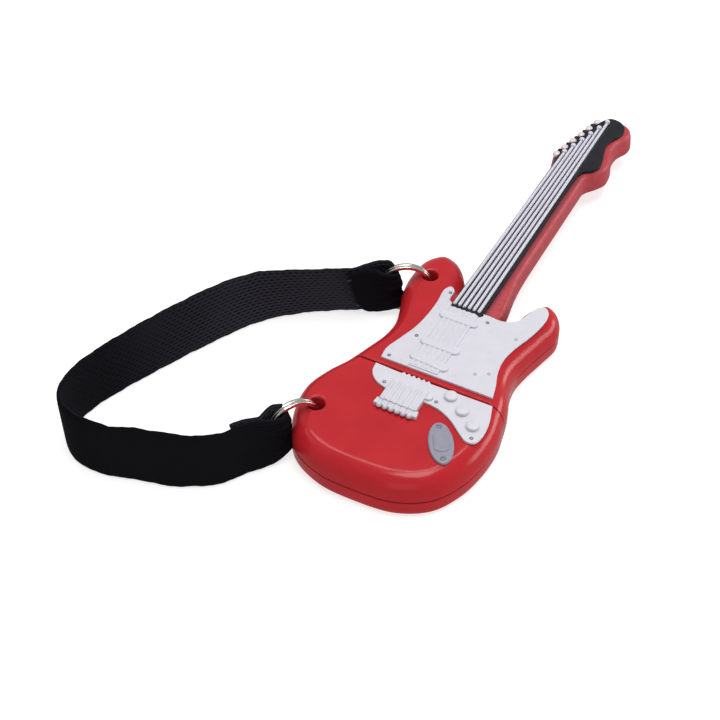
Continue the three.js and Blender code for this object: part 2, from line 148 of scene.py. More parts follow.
def add_camera():
    data = bpy.data.cameras.new("camera")
    data.sensor_width = 36
    data.lens = 69.48
    data.clip_start = 0.01
    camera = bpy.data.objects.new("camera", data)
    aim(camera, row(84.7, -185.0, 219.8), row(-17.8, 7.6, 0))
    bpy.context.scene.camera = camera


def area_light(name, place, target, width, height, watts):
    data = bpy.data.lights.new(name, "AREA")
    data.shape = "RECTANGLE"
    data.size, data.size_y = width, height
    data.energy = watts
    aim(bpy.data.objects.new(name, data), place, target)


def add_studio():
    world = bpy.data.worlds.new("studio")
    world.use_nodes = True
    # The room is brighter behind the guitar than on the camera's side.
    nodes, links = world.node_tree.nodes, world.node_tree.links
    facing, glow = nodes.new("ShaderNodeVectorMath"), nodes.new("ShaderNodeMapRange")
    facing.operation = "DOT_PRODUCT"
    facing.inputs[1].default_value = (-0.44, 0.82, 0.36)
    for socket, number in (("From Min", -1), ("From Max", 1), ("To Min", 0.2), ("To Max", 0.5)):
        glow.inputs[socket].default_value = number
    links.new(nodes.new("ShaderNodeTexCoord").outputs["Generated"], facing.inputs[0])
    links.new(facing.outputs["Value"], glow.inputs["Value"])
    links.new(glow.outputs["Result"], nodes["Background"].inputs["Strength"])
    nodes["Background"].inputs["Color"].default_value = (1, 1, 1, 1)
    bpy.context.scene.world = world
    middle = (-0.02, 0.03, 0)
    area_light("overhead", (0.08, 0.02, 0.62), middle, 0.35, 0.3, 2.2)
    area_light("far_strip", (-0.143, 0.261, 0.65), middle, 0.7, 0.1, 1.5)
    area_light("left_fill", (-0.6, -0.1, 0.4), middle, 0.3, 0.3, 0.2)
    area_light("front_fill", (0.2, -0.55, 0.22), middle, 0.4, 0.3, 0.25)
    area_light("right_strip", (0.52, 0.44, 0.07), (0, 0.06, 0.005), 0.5, 0.2, 1.5)
    settings = bpy.context.scene.view_settings
    settings.view_transform = "Standard"
    settings.look = "None"


def add_floor():
    bpy.ops.mesh.primitive_plane_add(size=6, location=(0, 0, 0))
    floor = bpy.context.object
    floor.name = "floor"
    paint = bpy.data.materials.new("floor_white")
    paint.use_nodes = True
    shader = paint.node_tree.nodes["Principled BSDF"]
    shader.inputs["Base Color"].default_value = (0.45, 0.45, 0.45, 1)
    shader.inputs["Roughness"].default_value = 0.9
    shader.inputs["Specular IOR Level"].default_value = 0.1
    shader.inputs["Emission Color"].default_value = (1, 1, 1, 1)
    shader.inputs["Emission Strength"].default_value = 0.72
    floor.data.materials.append(paint)
    floor.visible_glossy = False


# Materials


class Paint:
    """A Principled material with short ways to add procedural detail."""

    def __init__(self, name, colour, **sockets):
        self.material = bpy.data.materials.new(name)
        self.material.use_nodes = True
        self.tree = self.material.node_tree
        self.shader = self.tree.nodes["Principled BSDF"]
        self.colour = colour
        self.shader.inputs["Base Color"].default_value = (*colour, 1)
        for socket, value in sockets.items():
            self.shader.inputs[socket.replace("_", " ")].default_value = value
        self.place = self.tree.nodes.new("ShaderNodeTexCoord").outputs["Object"]
        self.normal = None

    def link(self, out, into):
        self.tree.links.new(out, into)

    def noise(self, size, detail=2.0, stretch=(1, 1, 1)):
        """Noise with features of about that size in millimetres."""
        mapping = self.tree.nodes.new("ShaderNodeMapping")
        mapping.inputs["Scale"].default_value = [1 / (s * size * MM) for s in stretch]
        texture = self.tree.nodes.new("ShaderNodeTexNoise")
        texture.inputs["Scale"].default_value = 1
        texture.inputs["Detail"].default_value = detail
        self.link(self.place, mapping.inputs["Vector"])
        self.link(mapping.outputs["Vector"], texture.inputs["Vector"])
        return texture.outputs["Fac"]

    def math(self, operation, first, second=None):
        node = self.tree.nodes.new("ShaderNodeMath")
        node.operation = operation
        for socket, value in zip(node.inputs, (first, second)):
            if isinstance(value, (int, float)):
                socket.default_value = value
            elif value is not None:
                self.link(value, socket)
        return node.outputs[0]

    def times(self, first, second):
        return self.math("MULTIPLY", first, second)

    def split(self, vector):
        """The X, Y and Z of a vector."""
        node = self.tree.nodes.new("ShaderNodeSeparateXYZ")
        self.link(vector, node.inputs[0])
        return node.outputs["X"], node.outputs["Y"], node.outputs["Z"]

    def spread(self, value, low, high, start=0.3, stop=0.7):
        """The value between start and stop spread over low to high."""
        node = self.tree.nodes.new("ShaderNodeMapRange")
        for name, number in (("From Min", start), ("From Max", stop), ("To Min", low), ("To Max", high)):
            node.inputs[name].default_value = number
        self.link(value, node.inputs["Value"])
        return node.outputs["Result"]

    def tint(self, value, colour_low, colour_high, start=0.3, stop=0.7):
        """Base colour that goes from one colour to the other as the value rises."""
        ramp = self.tree.nodes.new("ShaderNodeValToRGB")
        ramp.color_ramp.elements[0].position = start
        ramp.color_ramp.elements[0].color = (*colour_low, 1)
        ramp.color_ramp.elements[1].position = stop
        ramp.color_ramp.elements[1].color = (*colour_high, 1)
        self.link(value, ramp.inputs["Fac"])
        self.link(ramp.outputs["Color"], self.shader.inputs["Base Color"])

    def shade(self, value, amount):
        """Base colour a little darker and lighter than the paint's own."""
        dark = [c * (1 - amount) for c in self.colour]
        light = [min(1, c * (1 + amount)) for c in self.colour]
        self.tint(value, dark, light)

    def rough(self, value, low, high):
        self.link(self.spread(value, low, high), self.shader.inputs["Roughness"])

    def mottle(self, shade, rough, bump):
        """Uneven shade, gloss and surface, each with the size of its features first."""
        self.shade(self.noise(shade[0], 3), shade[1])
        self.rough(self.noise(rough[0], 3), *rough[1:])
        self.bump(self.noise(bump[0], 2), bump[1], 0.5)

    def bump(self, height, depth, strength):
        """Surface relief of that depth in millimetres."""
        node = self.tree.nodes.new("ShaderNodeBump")
        node.inputs["Distance"].default_value = depth * MM
        node.inputs["Strength"].default_value = strength
        self.link(height, node.inputs["Height"])
        if self.normal is not None:
            self.link(self.normal, node.inputs["Normal"])
        self.normal = node.outputs["Normal"]
        self.link(self.normal, self.shader.inputs["Normal"])


def gloss_red():
    paint = Paint("gloss_red", (0.45, 0.017, 0.023), Specular_IOR_Level=0.25)
    paint.mottle((9, 0.06), (4, 0.15, 0.22), (2.4, 0.012))
    paint.bump(paint.noise(0.35, 1), 0.004, 0.4)
    return paint.material


def neck_red():
    """A duller red, with painted shade along the top where it meets the black face, standing for the face's
    shadow.
    """
    paint = Paint("neck_red", (0.42, 0.034, 0.046), Specular_IOR_Level=0.5)
    # Painted shade: the top beside the black face is darkened as if in its shadow, mixed with a random
    # mottle.
    x, _, z = paint.split(paint.place)
    beside = paint.spread(x, 0, 1, 4.0 * MM, 5.5 * MM)
    below = paint.spread(z, 1, 0, 9.3 * MM, 9.8 * MM)
    mottled = paint.spread(paint.noise(1.1, 3), 0.75, 1)
    clear = paint.times(paint.math("MAXIMUM", beside, below), mottled)
    paint.tint(clear, (0.07, 0.008, 0.014), (0.45, 0.033, 0.045), 0, 1)
    paint.rough(paint.noise(1.5, 3), 0.4, 0.54)
    paint.bump(paint.noise(0.5, 2), 0.03, 0.5)
    return paint.material


def white_trim():
    paint = Paint("white_trim", (0.6, 0.59, 0.645), Specular_IOR_Level=0.4)
    paint.mottle((3, 0.025), (2, 0.26, 0.4), (1.6, 0.012))
    return paint.material


def string_white():
    paint = Paint("string_white", (0.68, 0.67, 0.76))
    x, y, _ = paint.split(paint.place)
    slanted = paint.math("ADD", paint.times(x, 0.8), y)
    winding = paint.math("SINE", paint.times(slanted, 2 * math.pi / (0.62 * MM)))
    paint.tint(paint.spread(winding, 0, 1, -1, 1), (0.46, 0.45, 0.55), (0.74, 0.73, 0.8), 0.1, 0.8)
    paint.rough(paint.noise(1, 2), 0.22, 0.34)
    paint.bump(winding, 0.05, 0.6)
    return paint.material


def tuner_pearl():
    paint = Paint("tuner_pearl", (0.72, 0.6, 0.65), Coat_Weight=0.6, Coat_Roughness=0.06)
    paint.shade(paint.noise(0.8, 2), 0.1)
    paint.rough(paint.noise(1, 2), 0.14, 0.24)
    return paint.material


def face_black():
    paint = Paint("face_black", (0.008, 0.009, 0.013), Specular_IOR_Level=0.25)
    paint.shade(paint.noise(2, 3), 0.3)
    paint.rough(paint.noise(1.2, 3), 0.3, 0.42)
    paint.bump(paint.noise(0.5, 3, (1, 4, 1)), 0.012, 0.5)
    return paint.material


def plate_grey():
    paint = Paint("plate_grey", (0.25, 0.245, 0.31))
    paint.mottle((1.5, 0.06), (1, 0.28, 0.42), (0.7, 0.012))
    return paint.material


def metal(name, colour, low, high, size=0.6, stretch=(1, 1, 1)):
    paint = Paint(name, colour, Metallic=1.0)
    grain = paint.noise(size, 3, stretch)
    paint.shade(grain, 0.08)
    paint.rough(grain, low, high)
    paint.bump(grain, 0.01, 0.3)
    return paint.material


def plastic(name, colour, low, high, size=1.0):
    paint = Paint(name, colour)
    grain = paint.noise(size, 3)
    paint.shade(grain, 0.12)
    paint.rough(grain, low, high)
    paint.bump(grain, 0.02, 0.4)
    return paint.material


def board_green():
    paint = Paint("board_green", (0.02, 0.13, 0.05), Coat_Weight=0.4, Coat_Roughness=0.15)
    tracks = paint.noise(1.4, 0, (0.35, 3, 1))
    paint.tint(tracks, (0.012, 0.09, 0.035), (0.03, 0.2, 0.07), 0.46, 0.54)
    paint.rough(paint.noise(1, 2), 0.3, 0.4)
    paint.bump(tracks, 0.03, 0.5)
    return paint.material


def webbing_black():
    """Rows along the strap, coarse with dark pits on the inner face and fine on the outer one."""
    paint = Paint("webbing_black", (0.012, 0.012, 0.014), Specular_IOR_Level=0.08, Roughness=0.8)
    uv = paint.tree.nodes.new("ShaderNodeUVMap")
    uv.uv_map = "weave"
    u, v, _ = paint.split(uv.outputs["UV"])
    along, across = paint.math("DIVIDE", u, WEAVE_SCALE), paint.math("DIVIDE", v, WEAVE_SCALE)
    inner = paint.spread(across, 0, 1, 15, 16)
    fuzz = paint.noise(0.3, 3)
    row_width, stitch = 0.9, 1.5

    # Short pits lie between the rows, staggered from row to row.
    rows = paint.math("DIVIDE", across, row_width)
    middle = paint.math("ABSOLUTE", paint.math("SINE", paint.times(rows, math.pi)))
    between = paint.spread(middle, 1, 0, 0.25, 0.9)
    count = paint.math("FLOOR", paint.math("ADD", rows, 0.5))
    phase = paint.math("ADD", paint.math("DIVIDE", along, stitch), paint.times(count, 0.46))
    beat = paint.math("SINE", paint.times(phase, 2 * math.pi))
    pits = paint.times(between, paint.spread(beat, 0.3, 1, -0.5, 0.3))
    pits = paint.times(pits, paint.spread(paint.noise(14, 1), 0.5, 0.9, 0.35, 0.6))
    pits = paint.times(pits, paint.spread(inner, 0.3, 1, 0, 1))

    # Fine ribs bunch up on the outer face beside the folds.
    bunched = paint.times(paint.spread(along, 1, 0, 17, 28), paint.spread(along, 0, 1, 9, 12))
    fine = paint.math("SINE", paint.times(across, 2 * math.pi / 0.85))
    ribs = paint.times(bunched, paint.spread(fine, 0, 0.75, -0.6, 1))
    dark = paint.math("ADD", paint.math("MAXIMUM", pits, ribs), paint.times(fuzz, 0.3))
    weave = paint.math("SUBTRACT", 1, dark)
    paint.bump(weave, 0.13, 0.6)

    # Painted light and shade: the inner face is painted much lighter than the outer face, and the far bend
    # darker. The sewn ends have a pale melted edge with a knot at each side.
    # Painted shade, darkest at the far left end of the loop, and painted light on the inner face.
    bend = paint.spread(paint.split(paint.place)[0], 0.2, 1, -60 * MM, -46 * MM)
    weave_and_painted_light = paint.times(weave, paint.spread(inner, 0.07, 0.6, 0, 1))
    weave_and_painted_light = paint.times(weave_and_painted_light, bend)
    knots = paint.math("ABSOLUTE", paint.math("SUBTRACT", paint.math("ABSOLUTE", across), 5.7))
    knots = paint.times(paint.spread(knots, 1, 0, 0.2, 0.5), paint.spread(along, 1, 0, 0.7, 1.1))
    melted = paint.times(paint.spread(along, 0.3, 0, 0.3, 0.7), paint.spread(fuzz, 0.3, 1))
    pale = paint.math("MAXIMUM", weave_and_painted_light, paint.math("MAXIMUM", melted, knots))
    paint.tint(pale, (0.0012, 0.0011, 0.002), (0.055, 0.053, 0.075), 0, 1)
    return paint.material


PAINTS = {
    "gloss_red": gloss_red(),
    "neck_red": neck_red(),
    "white_trim": white_trim(),
    "string_white": string_white(),
    "tuner_pearl": tuner_pearl(),
    "face_black": face_black(),
    "plate_grey": plate_grey(),
    "nickel": metal("nickel", (0.72, 0.69, 0.64), 0.12, 0.24, 0.5),
    "plug_steel": metal("plug_steel", (0.62, 0.61, 0.6), 0.22, 0.34, 0.3, (1, 14, 1)),
    "crystal_steel": metal("crystal_steel", (0.6, 0.6, 0.58), 0.25, 0.4),
    "gold_contact": metal("gold_contact", (0.83, 0.58, 0.22), 0.18, 0.3, 0.3, (1, 10, 1)),
    "webbing_black": webbing_black(),
    "board_green": board_green(),
    "chip_black": plastic("chip_black", (0.02, 0.02, 0.021), 0.5, 0.65, 0.3),
    "ceramic_tan": plastic("ceramic_tan", (0.4, 0.28, 0.17), 0.4, 0.55, 0.4),
    "black_insulator": plastic("black_insulator", (0.022, 0.022, 0.024), 0.4, 0.55, 0.5),
    "screw_grey": metal("screw_grey", (0.22, 0.23, 0.27), 0.3, 0.42, 0.3),
    "screw_pale": plastic("screw_pale", (0.42, 0.42, 0.47), 0.35, 0.5, 0.3),
}


# Shape helpers

# Edges that bend more than this many degrees stay sharp.
SHARP_ANGLE = 32
# A plate's flat top starts this far inside its rounded edge.
FLAT_MARGIN = 0.08


def spline(points, closed, step):
    """A centripetal Catmull-Rom curve through the points, sampled about every step."""
    knots = [np.array(p, float) for p in points]
    if closed:
        knots = [knots[-1]] + knots + knots[:2]
    else:
        knots = [2 * knots[0] - knots[1]] + knots + [2 * knots[-1] - knots[-2]]
    samples = []
    t = np.linspace(0, 1, 24, endpoint=False)[:, None]
    for p0, p1, p2, p3 in zip(knots, knots[1:], knots[2:], knots[3:]):
        d0, d1, d2 = (math.sqrt(np.linalg.norm(b - a)) for a, b in ((p0, p1), (p1, p2), (p2, p3)))
        m1 = ((p1 - p0) / d0 - (p2 - p0) / (d0 + d1) + (p2 - p1) / d1) * d1
        m2 = ((p2 - p1) / d1 - (p3 - p1) / (d1 + d2) + (p3 - p2) / d2) * d1
        samples.append(p1 + m1 * t + (3 * (p2 - p1) - 2 * m1 - m2) * t**2
                       + (2 * (p1 - p2) + m1 + m2) * t**3)
    line = np.vstack(samples + [knots[-2]])
    return resample(line, step)[: -1 if closed else None]


def resample(line, step):
    """The same line with points evenly spaced."""
    lengths = np.r_[0, np.cumsum(np.linalg.norm(np.diff(line, axis=0), axis=1))]
    count = max(2, round(lengths[-1] / step) + 1)
    places = np.linspace(0, lengths[-1], count)
    return np.stack([np.interp(places, lengths, line[:, k]) for k in range(line.shape[1])], axis=1)


def directions(line):
    """The unit tangents of an open line and the normals on their left."""
    tangent = np.gradient(line, axis=0)
    tangent /= np.linalg.norm(tangent, axis=1, keepdims=True)
    return tangent, np.stack([-tangent[:, 1], tangent[:, 0]], axis=1)


def arc(x, y, radius, start, stop, count):
    angles = np.radians(np.linspace(start, stop, count))
    return np.stack([x + radius * np.cos(angles), y + radius * np.sin(angles)], axis=1)


def anticlockwise(loop):
    x, y = loop[:, 0], loop[:, 1]
    area = np.sum(x * np.roll(y, -1) - y * np.roll(x, -1))
    return loop if area > 0 else loop[::-1]


def inset(loop, distance):
    """An anticlockwise loop moved inwards along its normals."""
    tangent = np.roll(loop, -1, axis=0) - np.roll(loop, 1, axis=0)
    tangent /= np.linalg.norm(tangent, axis=1, keepdims=True) + 1e-9
    return loop + distance * np.stack([-tangent[:, 1], tangent[:, 0]], axis=1)


def inside(points, loop):
    """Which points lie inside the closed loop."""
    result = np.zeros(len(points), bool)
    px, py = points[:, 0], points[:, 1]
    for (ax, ay), (bx, by) in zip(loop, np.roll(loop, -1, axis=0)):
        crosses = (ay > py) != (by > py)
        if crosses.any():
            result ^= crosses & (px < (bx - ax) * (py - ay) / (by - ay + 1e-30) + ax)
    return result


def distance_to(points, loop):
    """Each point's distance to the closed loop."""
    start, edge = loop, np.roll(loop, -1, axis=0) - loop
    length = np.sum(edge**2, axis=1) + 1e-18
    nearest = np.empty(len(points))
    for i in range(0, len(points), 2000):
        offset = points[i : i + 2000, None] - start[None]
        t = np.clip(np.sum(offset * edge, axis=2) / length, 0, 1)
        nearest[i : i + 2000] = np.min(np.linalg.norm(offset - t[..., None] * edge, axis=2), axis=1)
    return nearest


def triangulate(loops, inner=()):
    """Triangles between the loops, the first of which is the outer one. Vertices keep their order."""
    coords, edges = [], []
    for loop in loops:
        base, count = len(coords), len(loop)
        coords += [Vector(p) for p in loop]
        edges += [(base + i, base + (i + 1) % count) for i in range(count)]
    coords += [Vector(p) for p in inner]
    _, _, faces, sources, _, _ = delaunay_2d_cdt(coords, edges, [], 0, 1e-6)
    original = [min(ids) for ids in sources]
    plan = np.array([coords[i] for i in original])
    triangles = np.array([f for f in faces if len(f) == 3])
    middles = plan[triangles].mean(axis=1)
    keep = inside(middles, loops[0])
    for hole in loops[1:]:
        keep &= ~inside(middles, hole)
    ids = np.array(original)[triangles[keep]]
    a, b, c = (np.array([coords[i] for i in ids[:, k]]) for k in range(3))
    flip = np.cross(b - a, c - a) < 0
    ids[flip] = ids[flip][:, ::-1]
    return ids


def make_piece(name, vertices, faces, paint, smooth=SHARP_ANGLE):
    mesh = bpy.data.meshes.new(name)
    mesh.from_pydata([row(*v) for v in vertices], [], [tuple(int(i) for i in f) for f in faces])
    mesh.validate()
    piece = bpy.data.objects.new(name, mesh)
    bpy.context.collection.objects.link(piece)
    mesh.materials.append(PAINTS[paint])
    finish_mesh(piece, smooth)
    return piece


def finish_mesh(piece, smooth=SHARP_ANGLE):
    """Faces outwards, no loose points, and soft shading under the given angle."""
    work = bmesh.new()
    work.from_mesh(piece.data)
    bmesh.ops.remove_doubles(work, verts=work.verts, dist=1e-7)
    bmesh.ops.recalc_face_normals(work, faces=work.faces)
    bmesh.ops.delete(work, geom=[v for v in work.verts if not v.link_faces], context="VERTS")
    work.to_mesh(piece.data)
    work.free()
    piece.data.shade_smooth()
    piece.data.set_sharp_from_angle(angle=math.radians(smooth))


def cut(piece, tool, operation="DIFFERENCE"):
    """A boolean with another piece, which is used up. In a union that piece keeps its own paint."""
    modifier = piece.modifiers.new("cut", "BOOLEAN")
    modifier.operation = operation
    modifier.material_mode = "TRANSFER" if operation == "UNION" else "INDEX"
    modifier.solver = "EXACT"
    modifier.object = tool
    bpy.context.view_layer.update()
    result = bpy.data.meshes.new_from_object(piece.evaluated_get(bpy.context.evaluated_depsgraph_get()))
    piece.modifiers.clear()
    piece.data = result
    bpy.data.objects.remove(tool)
    finish_mesh(piece)


def bridge_rows(count, low, high):
    """Faces between two rows of the same closed loop."""
    return [(low + i, low + (i + 1) % count, high + (i + 1) % count, high + i) for i in range(count)]


def side_faces(count, rows, start=0):
    """Faces between rows of the same closed loop, whose vertices follow each other."""
    faces = []
    for k in range(rows - 1):
        faces += bridge_rows(count, start + k * count, start + (k + 1) * count)
    return faces


def tube_faces(count, rows):
    """The side faces and a flat face at each end."""
    last = (rows - 1) * count
    ends = [tuple(range(count)), tuple(reversed(range(last, last + count)))]
    return side_faces(count, rows) + ends


def stacked(name, loop, levels, paint):
    """A solid from a loop that is inset by a different distance at each height."""
    count, top = len(loop), (len(levels) - 1) * len(loop)
    vertices = [(x, y, z) for distance, z in levels for x, y in inset(loop, distance)]
    faces = side_faces(count, len(levels))
    faces += [tuple(top + i for i in f) for f in triangulate([inset(loop, levels[-1][0])])]
    faces += [tuple(reversed(f)) for f in triangulate([inset(loop, levels[0][0])])]
    return make_piece(name, vertices, faces, paint)


def plate(name, loop, z0, z1, radius, paint):
    """A flat plate with a small round on its upper edge."""
    loop = anticlockwise(loop)
    levels = [(0, z0)]
    for angle in (0, 30, 60, 90):
        turn = math.radians(angle)
        levels.append((radius * (1 - math.cos(turn)), z1 - radius * (1 - math.sin(turn))))
    levels.append((radius + FLAT_MARGIN, z1))
    return stacked(name, loop, levels, paint)


def block(xs, ys, zs):
    """A box to cut with."""
    vertices = [(x, y, z) for z in zs for y in ys for x in xs]
    faces = [(0, 2, 3, 1), (4, 5, 7, 6), (0, 1, 5, 4), (2, 6, 7, 3), (0, 4, 6, 2), (1, 3, 7, 5)]
    return make_piece("cutter", vertices, faces, "gloss_red")


def lathe(name, profile, x, y, paint, sides, smooth=SHARP_ANGLE):
    """Turns a profile of (radius, z) points about an upright axis. It starts and ends on the axis."""
    vertices = [(x, y, profile[0][1])]
    for radius, z in profile[1:-1]:
        vertices += [(px, py, z) for px, py in arc(x, y, radius, 0, 360, sides + 1)[:-1]]
    vertices.append((x, y, profile[-1][1]))
    rows, last = len(profile) - 2, len(vertices) - 1
    around = [(i, (i + 1) % sides) for i in range(sides)]
    faces = [(0, 1 + j, 1 + i) for i, j in around]
    faces += side_faces(sides, rows, 1)
    faces += [(last - sides + i, last - sides + j, last) for i, j in around]
    return make_piece(name, vertices, faces, paint, smooth)


def join(pieces, name):
    """One piece from several, each of which keeps its paint."""
    target = pieces[0]
    work = bmesh.new()
    paints = []
    for piece in pieces:
        start = len(work.faces)
        work.from_mesh(piece.data)
        work.faces.ensure_lookup_table()
        local = list(piece.data.materials)
        for face in work.faces[start:]:
            paint = local[face.material_index]
            if paint not in paints:
                paints.append(paint)
            face.material_index = paints.index(paint)
    mesh = bpy.data.meshes.new(name)
    work.to_mesh(mesh)
    work.free()
    for paint in paints:
        mesh.materials.append(paint)
    target.data = mesh
    target.name = name
    for piece in pieces[1:]:
        bpy.data.objects.remove(piece)
    mesh.set_sharp_from_angle(angle=math.radians(SHARP_ANGLE))
    return target


def settle(piece, body, slot, *nodes):
    """A finished piece rides on its body and stands for its CAD nodes."""
    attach(piece, body)
    if nodes:
        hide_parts(*nodes)


# Strap, made first with the camera


def ring_frame(ring):
    """The hole, the direction from it to the strap and the ring's axis, in plan."""
    angle = math.radians(ring["degrees"])
    along = np.array([math.cos(angle), math.sin(angle)])
    return np.array(ring["hole"]), along, np.array([-along[1], along[0]])


def fold(ring, side, near):
    """The strap's line round the ring's wire, from its own run to its flap, in plan.

    near is how close to the hole the fold comes. side is the flap's side of the ring.
    """
    hole, along, across = ring_frame(ring)
    spots = [(near + 6.2, -1.25), (near + 3.6, -1.6), (near + 1.2, -1.4), (near, -0.6), (near, 0.6),
             (near + 1.2, 1.4), (near + 3.6, 1.6), (near + 6.2, 1.25)]
    return [hole + a * along + side * b * across for a, b in spots]


def flap(run):
    """The end that is sewn flat onto the run, on its right-hand side, which is inside the loop."""
    tangent = (run[1:] - run[:-1]) / np.linalg.norm(run[1:] - run[:-1], axis=1, keepdims=True)
    middles = (run[1:] + run[:-1]) / 2
    return list(middles + FLAP_GAP * np.stack([tangent[:, 1], -tangent[:, 0]], axis=1))


def strap_line():
    """The whole strap in plan, from one flap's end to the other's."""
    route = spline(STRAP_ROUTE, False, 2.0)
    first = fold(LOWER_RING, -1, 6.9)
    last = fold(UPPER_RING, 1, 6.8)
    low_flap, high_flap = flap(route[1:4])[::-1], flap(route[-4:-1])[::-1]
    knots = low_flap + first[::-1] + list(route[2:-2:2]) + last + high_flap
    return spline(knots, False, 0.5)


def smoothstep(value, start, stop):
    t = np.clip((value - start) / (stop - start), 0, 1)
    return t * t * (3 - 2 * t)


def build_strap():
    line = strap_line()
    places = np.r_[0, np.cumsum(np.linalg.norm(np.diff(line, axis=0), axis=1))]
    tangent, normal = directions(line)
    first, last = (np.argmin(np.linalg.norm(line - np.array(ring["hole"]), axis=1))
                   for ring in (LOWER_RING, UPPER_RING))
    from_low, from_high = places - places[first], places[last] - places
    nearest = np.minimum(np.abs(from_low), np.abs(from_high))
    squeeze = 1 - smoothstep(nearest, 0.5, 8.5)
    to_end = np.minimum(places, places[-1] - places)
    at_tip = 1 - smoothstep(to_end, 0, 3.5)
    low_flap = 1 - smoothstep(from_low, -1, 0)
    high_flap = 1 - smoothstep(from_high, 0.4, 2.2)
    # The wall in front of each ring is pulled down more than the one behind it.
    in_front = np.where(from_low < from_high, 1 - low_flap, high_flap)
    high = 15.15 - (1.5 + 1.6 * in_front) * squeeze - 1.2 * high_flap * at_tip
    high -= 1.7 * low_flap * np.exp(-((nearest - 6.3) / 2.2) ** 2)
    low = 0.05 + 1.4 * squeeze + high_flap * (0.5 * smoothstep(nearest, 0, 6) + 1.4 * at_tip)
    # How the strap leans: a flap leans with the run beside it.
    beside = np.abs(from_low) - 6
    beside = np.where(high_flap > 0.5, from_low[last] - np.abs(from_high) - 6, beside)
    along, bottom_shift, top_shift = zip(*LEAN)
    bottom_lean = np.interp(beside, along, bottom_shift)
    top_lean = np.interp(beside, along, top_shift)
    # The fold at the upper ring slants away from the body at its top.
    slant = np.zeros((len(line), 2))
    for ring, fold_at, amount in ((LOWER_RING, from_low, 0.06), (UPPER_RING, from_high, 0.14)):
        slant += amount * (1 - smoothstep(np.abs(fold_at), 1, 9))[:, None] * ring_frame(ring)[1]
    wave = 0.16 * np.sin(places * 0.83 + 1.1) + 0.1 * np.sin(places * 1.57) + 0.07 * np.sin(places * 2.9)
    # The sewn ends are cut at a slant, shorter at the bottom.
    backwards = np.where(places < places[-1] / 2, 1, -1)[:, None] * tangent
    pull = 1.3 * (1 - smoothstep(to_end, 0, 6))[:, None] * backwards
    columns = 44
    v = np.linspace(-1, 1, columns + 1)
    half = WEBBING_THICK / 2 * np.sqrt(np.clip(1 - np.abs(v) ** 12, 0, 1))
    vertices, weave = [], []
    for i, (point, out) in enumerate(zip(line, normal)):
        middle, reach = (high[i] + low[i]) / 2, (high[i] - low[i]) / 2 + wave[i] * 0.5
        ripple = 0.2 * np.sin(v * 7 + places[i] * 0.4) + 0.14 * np.sin(v * 19 + places[i] * 0.3)
        ripple *= squeeze[i]
        leaning = bottom_lean[i] + (top_lean[i] - bottom_lean[i]) * (v + 1) / 2
        z = np.maximum(middle + reach * v, 0.02)
        for side in (1, -1):
            order = range(columns + 1) if side == 1 else range(columns - 1, 0, -1)
            for j in order:
                shift = out * (ripple[j] + side * half[j]) + AWAY * leaning[j] + slant[i] * (z[j] - 5)
                x, y = point + shift - pull[i] * v[j]
                vertices.append((x, y, z[j]))
                across = v[j] * WEBBING_WIDTH / 2 + (INNER_FACE if side == -1 else 0)
                weave.append((to_end[i] * WEAVE_SCALE, across * WEAVE_SCALE))
    faces = tube_faces(2 * columns, len(line))
    strap = make_piece("webbing_strap", vertices, faces, "webbing_black", 60)
    layer = strap.data.uv_layers.new(name="weave")
    for loop in strap.data.loops:
        layer.data[loop.index].uv = weave[loop.vertex_index]
    return strap, line[first : last + 1]


def add_strap():
    strap, run = build_strap()
    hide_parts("strap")
    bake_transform(strap)


# Red shells


def edge_drop(distance, run, rise):
    """How far a surface lies below its flat at that distance from its edge."""
    t = np.clip(distance / run, 0, 1)
    return rise * (1 - np.sqrt(np.clip(1 - (1 - t) ** 2, 0, 1)))


def half_outline(upper):
    """The part of the body's outline on one side of the seam, and its straight seam edge."""
    loop = anticlockwise(spline(BODY_OUTLINE, True, 0.4))
    cut_y = SEAM_GAP / 2 if upper else -SEAM_GAP / 2
    keep = loop[:, 1] > cut_y if upper else loop[:, 1] < cut_y
    first = np.flatnonzero(keep & ~np.roll(keep, 1))[0]
    loop, keep = np.roll(loop, -first, axis=0), np.roll(keep, -first)
    curve = loop[keep]
    ends = []
    for a, b in ((loop[-1], curve[0]), (curve[-1], loop[len(curve)])):
        t = (cut_y - a[1]) / (b[1] - a[1])
        ends.append(a + (b - a) * t)
    edge = resample(np.array([ends[1], ends[0]]), 0.4)[1:-1]
    curve = np.vstack([ends[0], curve, ends[1]])
    return np.vstack([curve, edge]), len(curve), loop


